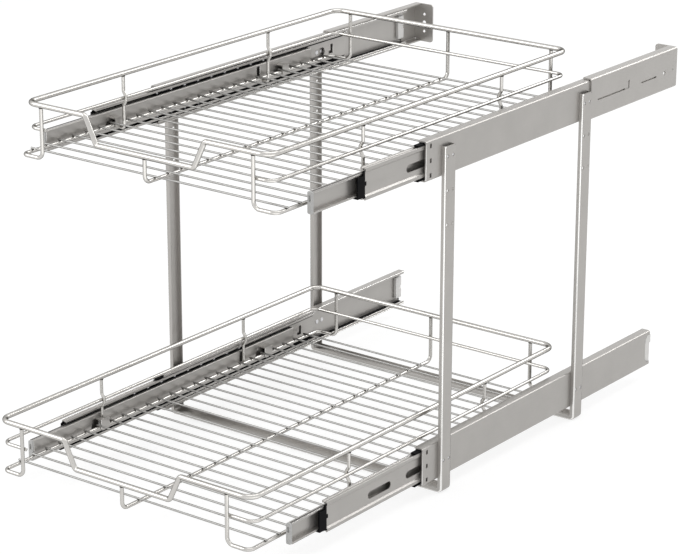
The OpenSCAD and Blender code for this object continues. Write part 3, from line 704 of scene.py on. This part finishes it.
def roll(bm, radius, segments, chosen=lambda edge: True, finish=-1):
    """Rolls the sharp edges that are chosen.

    finish is the number of the rolled faces' material, or -1 for their neighbours'.
    """
    sharp = [
        e
        for e in bm.edges
        if len(e.link_faces) == 2 and e.calc_face_angle(0) > SHARP and chosen(e)
    ]
    bmesh.ops.bevel(
        bm,
        geom=sharp,
        offset=radius,
        offset_type="OFFSET",
        segments=segments,
        profile=0.5,
        material=finish,
        affect="EDGES",
        clamp_overlap=True,
    )


def outer_edge(edge):
    """Whether an edge is an outer bend along a slide or up its front end."""
    a, b = edge.verts
    long = abs(a.co.y - b.co.y) > LONG or abs(a.co.z - b.co.z) > TALL
    return long and edge.is_convex


def rounded(node, slot, radius, suffix, segments=2):
    """A piece with the solid's own shape and its sharp edges rolled."""
    bm = solid_of(node)
    roll(bm, radius, segments)
    solid_piece(node, suffix, bm, slot)


def u_frame(node):
    """The outer bends of the posts and strap are wide, the other edges fine."""
    low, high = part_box(node)
    inner_x, inner_z = high.x - FRAME_FLANGE, low.z + FRAME_FLANGE
    bm = solid_of(node)

    def edge_is_flat(edge):
        a, b = edge.verts
        return abs(a.co.z - b.co.z) < NEAR and a.co.z > high.z - NEAR

    def outer_bend(edge):
        for v in edge.verts:
            at_face = min(abs(v.co.y - low.y), abs(v.co.y - high.y)) < NEAR
            within = abs(v.co.x) < inner_x + NEAR and v.co.z > inner_z - NEAR
            if not at_face or within or v.co.z > high.z - NEAR and edge_is_flat(edge):
                return False
        return True

    # The wide outer bends take the near-white painted highlight
    roll(bm, OUTER_BEND, 5, outer_bend, finish=1)
    roll(bm, FINE_EDGE, 3)
    solid_piece(node, "bent", bm, "frame_steel", [BEND_PAINTED_HIGHLIGHT])


class Rail:
    """The place of a slide: the outer face of its rail, and its middle."""

    def __init__(self, tier):
        low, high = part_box(f"{tier}_right_outer_member")
        self.x = high.x + COVER_SHEET
        self.z = (low.z + high.z) / 2

    def depth(self, at):
        return (self.x - abs(at.x)) / MM

    def height(self, at):
        return abs(at.z - self.z) / MM


def in_raceway(kind, rail, face):
    """Whether a face of a slide member lies where the balls run."""
    at = face.calc_center_median()
    outward = face.normal.x * math.copysign(1, at.x)
    tilted = abs(face.normal.x) > 0.2

    def within(band):
        (bottom, top), (near, far) = band
        return bottom < rail.height(at) < top and near < rail.depth(at) < far

    if kind == "mid_member":
        inner = within(MID_INNER) and outward < 0.3
        outer = within(MID_OUTER) and face.normal.z * (at.z - rail.z) > 0.2
        return inner or outer and tilted
    if kind == "outer_member":
        return within(OUTER_BAND) and outward < 0.5
    if kind == "drawer_member":
        return within(DRAWER_BAND) and tilted
    return False


def slide_member(tier, side, kind, rail):
    node = f"{tier}_{side}_{kind}"
    bm = solid_of(node)
    # The outer bends take the near-white painted highlight
    roll(bm, SLIDE_BEND, 4, outer_edge, finish=2)
    roll(bm, SLIDE_EDGE, 2)
    bm.normal_update()
    # Faces where the balls run take the near-black painted shade of the slides' inner gaps
    for face in bm.faces:
        if in_raceway(kind, rail, face):
            face.material_index = 1
    solid_piece(node, "rolled", bm, "slide_steel", [RACEWAY_PAINTED_SHADE, BEND_PAINTED_HIGHLIGHT])


def sheet_metal():
    for node in ("front_frame", "rear_frame"):
        u_frame(node)
    for side in SIDES:
        rounded(f"{side}_rear_bracket", "frame_steel", BRACKET_EDGE, "bent")
    for tier in TIERS:
        rail = Rail(tier)
        for side in SIDES:
            for kind in ("cover_rail", "outer_member", "mid_member", "drawer_member"):
                slide_member(tier, side, kind, rail)


def mouldings():
    for tier in TIERS:
        for side in SIDES:
            rounded(f"{tier}_{side}_bumper", "pale_plastic", BUMPER_EDGE, "moulded", 3)
        rounded(f"{tier}_slide_guides", "dark_plastic", GUIDE_EDGE, "moulded")
        rounded(f"{tier}_rail_pads", "dark_plastic", PAD_EDGE, "moulded")
        rounded(f"{tier}_drawer_caps", "grey_plastic", CAP_EDGE, "moulded")
        for kind in ("outer_cages", "inner_cages"):
            rounded(f"{tier}_{kind}", "dark_plastic", CAGE_EDGE, "moulded", 1)


# Screws: a flat round head inside the rail, and a domed tip at the post

SCREW_SIDES = 28
PAIR = 10 * MM
HEAD_R = 3 * MM
HEAD_THICK = 0.7 * MM
HEAD_DEPTH = 3.1 * MM  # from the rail's outer face to the top of a head
SHANK_R = 1.7 * MM
TIP_SHORT = 0.05 * MM  # from the post's face to the tip


def turned(bm, profile, base, sign):
    """Adds a body turned about X: profile is (radius, distance from base)."""
    rings = []
    for radius, along in profile:
        x = base.x + sign * along
        if radius < 1e-9:
            rings.append([bm.verts.new((x, base.y, base.z))])
            continue
        ring = []
        for k in range(SCREW_SIDES):
            a = 2 * math.pi * k / SCREW_SIDES
            at = (x, base.y + radius * math.cos(a), base.z + radius * math.sin(a))
            ring.append(bm.verts.new(at))
        rings.append(ring)
    for a, b in zip(rings, rings[1:]):
        for k in range(SCREW_SIDES):
            j = (k + 1) % SCREW_SIDES
            if len(a) == 1:
                bm.faces.new((a[0], b[k], b[j]))
            elif len(b) == 1:
                bm.faces.new((a[k], a[j], b[0]))
            else:
                bm.faces.new((a[k], a[j], b[j], b[k]))


def screws(node, tier):
    """A pair of screws at each post, on both sides."""
    low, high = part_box(node)
    rail = Rail(tier)
    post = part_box("front_frame")[1].x
    head_x = rail.x - HEAD_DEPTH
    tip = post - head_x - TIP_SHORT
    centre_z = (low.z + high.z) / 2
    near = low.y + HEAD_R
    far = high.y - HEAD_R
    profile = [
        (0, 0.0),
        (1.2 * MM, 0.0),
        (1.35 * MM, 0.25 * MM),
        (1.8 * MM, 0.02 * MM),
        (2.6 * MM, 0.12 * MM),
        (2.95 * MM, 0.38 * MM),
        (HEAD_R, HEAD_THICK),
        (SHANK_R, HEAD_THICK),
        (SHANK_R, tip - 0.75 * MM),
        (1.45 * MM, tip - 0.35 * MM),
        (0.95 * MM, tip - 0.08 * MM),
        (0, tip),
    ]
    bm = bmesh.new()
    for sign in (-1, 1):
        for y in (near, near + PAIR, far - PAIR, far):
            turned(bm, profile, Vector((sign * head_x, y, centre_z)), sign)
    piece(f"{node}_turned", bm, body_of(node), "screw_steel", [node], smooth_angle=50)


def small_steel():
    screws("lower_rail_screws", "lower")
    screws("height_screws", "upper")
    for tier in TIERS:
        for kind in ("outer_balls", "inner_balls"):
            materials = frame["nodes"][f"{tier}_{kind}"].data.materials
            materials.clear()
            materials.append(FINISH["ball_steel"])


make_camera()
make_world()
make_floor()
make_lamps()
for tier in TIERS:
    basket = Basket(tier)
    top_rim(basket)
    mid_rim(basket)
    base_wires(basket)
    side_uprights(basket)
    cross_wires(basket)
    welds(basket)
sheet_metal()
mouldings()
small_steel()

bpy.context.scene.view_settings.view_transform = "Standard"
